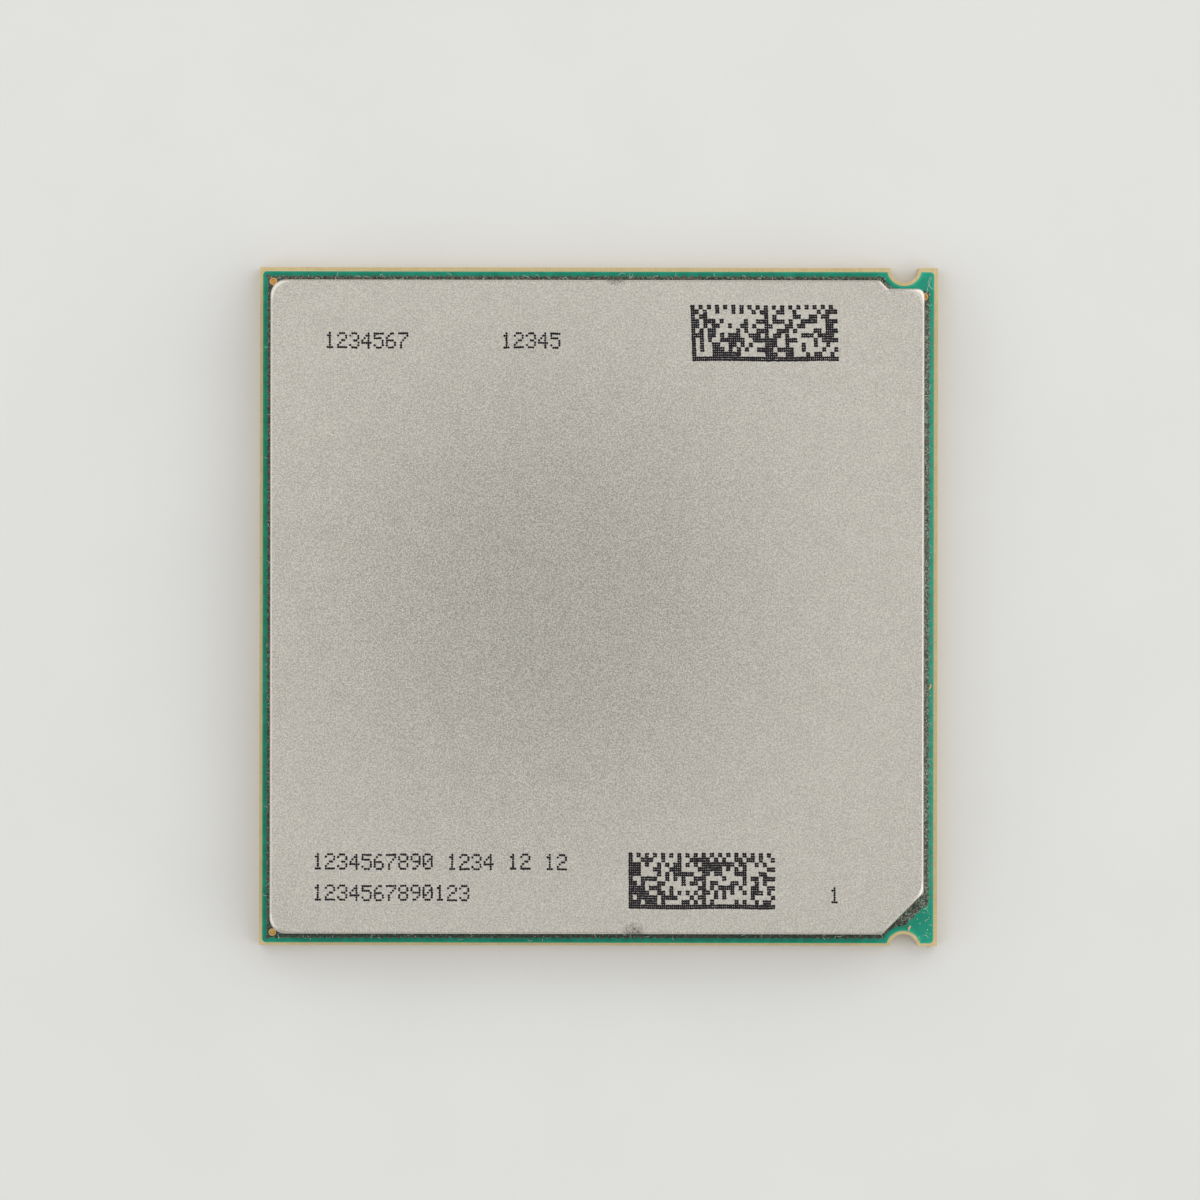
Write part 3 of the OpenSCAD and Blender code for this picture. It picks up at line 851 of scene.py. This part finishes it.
def speck(x, y, level, size, chance, sides=7):
    """Vertices and faces of a small flat crumb of uneven outline."""
    turn = chance.uniform(0, math.pi)
    narrow = chance.uniform(*SPECK_NARROW)
    reach = [size / 2 * chance.uniform(*SPECK_REACH) for _ in range(sides)]
    vertices = []
    for grow, rise in SPECK_RINGS:
        for k in range(sides):
            angle = 2 * math.pi * k / sides
            along = grow * reach[k] * math.cos(angle)
            across = grow * reach[k] * math.sin(angle) * narrow
            vertices.append((
                x + along * math.cos(turn) - across * math.sin(turn),
                y + along * math.sin(turn) + across * math.cos(turn),
                level + rise * size,
            ))
    faces = [list(reversed(range(sides))), [2 * sides + k for k in range(sides)]]
    for low in (0, sides):
        for k in range(sides):
            after = (k + 1) % sides
            faces.append((low + k, low + after, low + sides + after, low + sides + k))
    return vertices, faces


def together(shapes):
    """Several shapes' vertices and faces as one."""
    vertices = []
    faces = []
    for points, sheets in shapes:
        first = len(vertices)
        vertices += points
        faces += [[first + k for k in sheet] for sheet in sheets]
    return vertices, faces


def clear_of_notches(x, y):
    """Whether a place in metres lies clear of the key notches."""
    return all(math.dist((x, y), (a * MM, b * MM)) > NOTCH_CLEAR * MM for a, b in NOTCHES)


def on_open_mask(x, y):
    """Whether a place in metres lies on the mask, clear of the lid and the notches."""
    inside = MASK_LOW.x < x < MASK_HIGH.x and MASK_LOW.y < y < MASK_HIGH.y
    under = LID_LOW.x < x < LID_HIGH.x and LID_LOW.y < y < LID_HIGH.y
    return inside and not under and clear_of_notches(x, y)


def dusty_places(number, chance):
    """Places in metres between the lid and the copper plane's edge, most of them on the right."""
    for _ in range(number):
        side = chance.choice(DUSTY_SIDES)
        out = chance.random()
        across = PLANE_LOW.x + (PLANE_HIGH.x - PLANE_LOW.x) * chance.random()
        up = PLANE_LOW.y + (PLANE_HIGH.y - PLANE_LOW.y) * chance.random()
        if side == "left":
            across = LID_LOW.x + (PLANE_LOW.x - LID_LOW.x) * out
        elif side == "right":
            across = LID_HIGH.x + (PLANE_HIGH.x - LID_HIGH.x) * out
        elif side == "lower":
            up = LID_LOW.y + (PLANE_LOW.y - LID_LOW.y) * out
        else:
            up = LID_HIGH.y + (PLANE_HIGH.y - LID_HIGH.y) * out
        if clear_of_notches(across, up):
            yield across, up


def stray_threads(number, chance, points=4):
    """Short bent threads of lint, as points in millimetres, where they lie clear on the mask."""
    for across, up in dusty_places(number, chance):
        x, y = across / MM, up / MM
        heading = chance.uniform(0, 2 * math.pi)
        bend = chance.gauss(0.0, THREAD_BEND)
        step = chance.uniform(*THREAD_STEPS)
        thread = [(x, y)]
        for _ in range(points - 1):
            x += step * math.cos(heading)
            y += step * math.sin(heading)
            heading += bend
            thread.append((x, y))
        if all(on_open_mask(a * MM, b * MM) for a, b in thread):
            yield thread


def floor_finish(stage):
    """Pale floor that takes the package's shadow, and an even backdrop far from it."""
    sockets = {"Roughness": 0.8, "Specular IOR Level": 0.1, "Emission Color": stage.backdrop}
    finish = Finish("pale_floor", sockets)
    x, y, _ = finish.axes()
    ray = finish.nodes.new("ShaderNodeLightPath").outputs
    seen = finish.math("MAXIMUM", ray["Is Camera Ray"], ray["Is Glossy Ray"])
    seen = finish.math("MAXIMUM", seen, ray["Is Transmission Ray"])
    glow = finish.times(finish.ease(finish.distance(x, y), *FLOOR_FADES), seen)
    clouds = finish.clouds(size=12.0, detail=3.0)
    pale = finish.mix(clouds, stage.floor, shade(stage.floor, 0.985))
    finish.feed("Base Color", finish.mix(glow, pale, BLACK))
    finish.feed("Emission Strength", glow)
    return finish.material


def softbox(name, place, size, power):
    """An area lamp that faces the package."""
    lamp = bpy.data.lights.new(name, "AREA")
    lamp.shape = "RECTANGLE"
    lamp.size, lamp.size_y = size
    lamp.energy = power
    made = bpy.data.objects.new(name, lamp)
    made.location = place
    made.rotation_euler = (-Vector(place)).to_track_quat("-Z", "Y").to_euler()
    bpy.context.scene.collection.objects.link(made)


class PROCESSOR_OT_board(bpy.types.Operator):
    """Finish the laminate, its burr, its solder masks and the copper plane"""

    bl_idname = "processor.board"
    bl_label = "Laminate and Masks"

    def execute(self, context):
        look = context.scene.processor_finishes
        laminate = laminate_finish(look)
        dress(laminate, "laminate")
        burr = fibre(EDGE_BURR, BOARD_TOP - 2 * look.burr_d, look.burr_d)
        piece("edge_burr", *burr, laminate, "laminate")
        dress(mask_finish(look), "top_solder_mask", "bottom_solder_mask")
        dress(copper_finish(look), "copper_plane")
        return {"FINISHED"}


class PROCESSOR_OT_gold(bpy.types.Operator):
    """Finish the fiducial marks and the contact lands"""

    bl_idname = "processor.gold"
    bl_label = "Marks and Lands"

    def execute(self, context):
        look = context.scene.processor_finishes
        marks = numbered("fiducial_mark_")
        dress(mark_finish(look, marks), *marks)
        dress(land_finish(look), "contact_lands", "corner_lands")
        return {"FINISHED"}


class PROCESSOR_OT_die(bpy.types.Operator):
    """Finish the die, its underfill and the thermal layer"""

    bl_idname = "processor.die"
    bl_label = "Die Stack"

    def execute(self, context):
        look = context.scene.processor_finishes
        silicon = cloudy_finish(
            "ground_silicon", look.silicon, tint=0.8, size=0.6, roughness=0.28, metallic=0.4
        )
        dress(silicon, "silicon_die")
        resin = cloudy_finish("cured_resin", look.resin, tint=1.4, size=0.9, roughness=0.45)
        dress(resin, "underfill")
        compound = cloudy_finish(
            "thermal_compound", look.compound, tint=0.8, size=0.7, roughness=0.6
        )
        dress(compound, "thermal_interface")
        return {"FINISHED"}


class PROCESSOR_OT_capacitors(bpy.types.Operator):
    """Finish the capacitors, their terminals and their solder"""

    bl_idname = "processor.capacitors"
    bl_label = "Capacitors"

    def execute(self, context):
        look = context.scene.processor_finishes
        ceramic = cloudy_finish(
            "capacitor_ceramic", look.ceramic, tint=0.75, size=0.15, roughness=0.5
        )
        dress(ceramic, *numbered("capacitor_body_"))
        tin = cloudy_finish(
            "terminal_tin", look.tin, tint=0.85, size=0.2, roughness=0.35, metallic=1.0
        )
        dress(tin, *numbered("capacitor_terminals_"))
        solder = cloudy_finish(
            "reflowed_solder", look.solder, tint=0.8, size=0.2, roughness=0.25, metallic=1.0
        )
        dress(solder, *numbered("capacitor_solder_"))
        return {"FINISHED"}


class PROCESSOR_OT_lid(bpy.types.Operator):
    """Finish the lid and the sealant under it"""

    bl_idname = "processor.lid"
    bl_label = "Lid and Sealant"

    def execute(self, context):
        look = context.scene.processor_finishes
        dress(nickel_finish(look), "lid")
        sealant = cloudy_finish(
            "lid_sealant", look.sealant, tint=1.6, size=0.4, roughness=0.55, relief=0.02
        )
        dress(sealant, "lid_sealant")
        return {"FINISHED"}


class PROCESSOR_OT_print(bpy.types.Operator):
    """Print the counting digits and the matrix marks on the lid"""

    bl_idname = "processor.print"
    bl_label = "Ink Print"

    def execute(self, context):
        ink = context.scene.processor_print
        chance = random.Random(ink.seed)
        finish = cloudy_finish(
            "marking_ink", ink.ink, tint=1.7, size=0.12, roughness=0.6, relief=0.002,
            gloss=ink.ink_gloss,
        )
        places = []
        for text, x, y in COUNTING_LINES:
            places += digit_places(text, x * MM, y * MM, ink)
        dots = ink_dots(scattered(places, ink.dot_d, ink, chance))
        piece("counting_digits", *dots, finish, "marking_ink")
        for number, (x, y, lean) in enumerate(MATRIX_MARKS, 1):
            places = list(matrix_places(x * MM, y * MM, lean * MM, ink, chance))
            dots = ink_dots(scattered(places, ink.matrix_dot_d, ink, chance))
            piece(f"matrix_mark_{number}", *dots, finish, "marking_ink")
        return {"FINISHED"}


class PROCESSOR_OT_dust(bpy.types.Operator):
    """Lay lint and specks on the board round the lid"""

    bl_idname = "processor.dust"
    bl_label = "Dust"

    def execute(self, context):
        dust = context.scene.processor_dust
        chance = random.Random(dust.seed)
        lint = cloudy_finish("pale_lint", dust.lint, tint=1.3, size=0.1, roughness=0.8)
        tan = cloudy_finish("tan_dust", dust.tan, tint=0.8, size=0.1, roughness=0.8)
        white = cloudy_finish("white_dust", dust.white, tint=0.7, size=0.08, roughness=0.8)
        puff = [[(x + a, y + b) for x, y in LINT_LOOP] for a, b in PUFF_OFFSETS]
        threads = stray_threads(dust.threads, chance)
        strands = [*puff, LINT_TAIL, LINT_ARC, LINT_HOOK, *threads]
        loops = [fibre(points, FILM_TOP, dust.lint_d) for points in strands]
        piece("pale_lint", *together(loops), lint, "dust")
        chips = (CHIP_FORK, CHIP_ARM, CHIP_FLAKE)
        forks = [fibre(points, FILM_TOP, dust.chip_d) for points in chips]
        crumbs = [speck(x * MM, y * MM, FILM_TOP, dust.speck_d, chance) for x, y in TAN_SPECKS]
        piece("tan_fibres", *together([*forks, *crumbs]), tan, "dust")
        crumbs = [speck(x * MM, y * MM, FILM_TOP, dust.speck_d, chance) for x, y in WHITE_SPECKS]
        for x, y in dusty_places(dust.scattered, chance):
            size = dust.speck_d * chance.uniform(*SCATTERED_SIZES)
            crumbs.append(speck(x, y, FILM_TOP, size, chance))
        piece("white_specks", *together(crumbs), white, "dust")
        return {"FINISHED"}


class PROCESSOR_OT_stage(bpy.types.Operator):
    """Set the floor, the camera, the world and the softboxes"""

    bl_idname = "processor.stage"
    bl_label = "Studio"

    def execute(self, context):
        stage = context.scene.processor_stage
        self.lay_floor(stage, context.scene)
        self.hang_lamps(stage, context.scene)
        self.set_camera(stage, context.scene)
        context.scene.view_settings.view_transform = "Standard"
        return {"FINISHED"}

    def lay_floor(self, stage, scene, half=3.0):
        """A wide floor that reaches half its width, in metres, from the package."""
        corners = [(-half, -half, 0), (half, -half, 0), (half, half, 0), (-half, half, 0)]
        mesh = bpy.data.meshes.new("floor")
        mesh.from_pydata(corners, [], [(0, 1, 2, 3)])
        mesh.materials.append(floor_finish(stage))
        floor = bpy.data.objects.new("floor", mesh)
        scene.collection.objects.link(floor)
        floor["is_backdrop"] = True

    def hang_lamps(self, stage, scene):
        """An even white world and a softbox on each side."""
        world = bpy.data.worlds.new("studio")
        world.use_nodes = True
        background = world.node_tree.nodes["Background"].inputs
        background["Color"].default_value = (1.0, 1.0, 1.0, 1.0)
        background["Strength"].default_value = stage.world
        scene.world = world
        softbox("left_softbox", stage.left_place, stage.softbox_size, stage.left_watts)
        softbox("right_softbox", stage.right_place, stage.softbox_size, stage.right_watts)

    def set_camera(self, stage, scene):
        """A camera straight above that shows the frame's width at the mask."""
        lens = bpy.data.cameras.new("photo_camera")
        lens.sensor_width = 36.0
        lens.lens = lens.sensor_width * stage.camera_height / stage.frame_width
        lens.clip_start = 0.01
        lens.clip_end = 20.0
        camera = bpy.data.objects.new("photo_camera", lens)
        camera.location = (stage.camera_x, stage.camera_y, MASK_TOP + stage.camera_height)
        camera.rotation_euler = (0.0, 0.0, stage.camera_roll)
        scene.collection.objects.link(camera)
        scene.camera = camera


class PROCESSOR_PT_sidebar(bpy.types.Panel):
    """Steps and settings of the package"""

    bl_idname = "PROCESSOR_PT_sidebar"
    bl_label = "Processor Package"
    bl_space_type = "VIEW_3D"
    bl_region_type = "UI"
    bl_category = "Processor"

    def draw(self, context):
        for step in OPERATORS:
            self.layout.operator(step.bl_idname)
        for group in SETTINGS:
            settings = getattr(context.scene, group)
            box = self.layout.box()
            for name in settings.bl_rna.properties.keys():
                if name not in {"rna_type", "name"}:
                    box.prop(settings, name)


OPERATORS = (
    PROCESSOR_OT_board,
    PROCESSOR_OT_gold,
    PROCESSOR_OT_die,
    PROCESSOR_OT_capacitors,
    PROCESSOR_OT_lid,
    PROCESSOR_OT_print,
    PROCESSOR_OT_dust,
    PROCESSOR_OT_stage,
)
SETTINGS = {
    "processor_finishes": ProcessorFinishes,
    "processor_print": ProcessorPrint,
    "processor_dust": ProcessorDust,
    "processor_stage": ProcessorStage,
}


def register():
    """Adds the settings, the steps and the panel."""
    for name, group in SETTINGS.items():
        bpy.utils.register_class(group)
        setattr(bpy.types.Scene, name, PointerProperty(type=group))
    for step in (*OPERATORS, PROCESSOR_PT_sidebar):
        bpy.utils.register_class(step)


def unregister():
    """Takes them away again."""
    for step in (PROCESSOR_PT_sidebar, *reversed(OPERATORS)):
        bpy.utils.unregister_class(step)
    for name, group in SETTINGS.items():
        delattr(bpy.types.Scene, name)
        bpy.utils.unregister_class(group)


def main():
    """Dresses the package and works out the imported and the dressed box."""
    register()
    bpy.ops.processor.board()
    bpy.ops.processor.gold()
    bpy.ops.processor.die()
    bpy.ops.processor.capacitors()
    bpy.ops.processor.lid()
    bpy.ops.processor.print()
    bpy.ops.processor.dust()
    bpy.ops.processor.stage()
    boxes = {"cad": CAD_BOX, "visual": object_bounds()}
    {name: [list(corner) for corner in box] for name, box in boxes.items()}


if __name__ == "__main__":
    main()
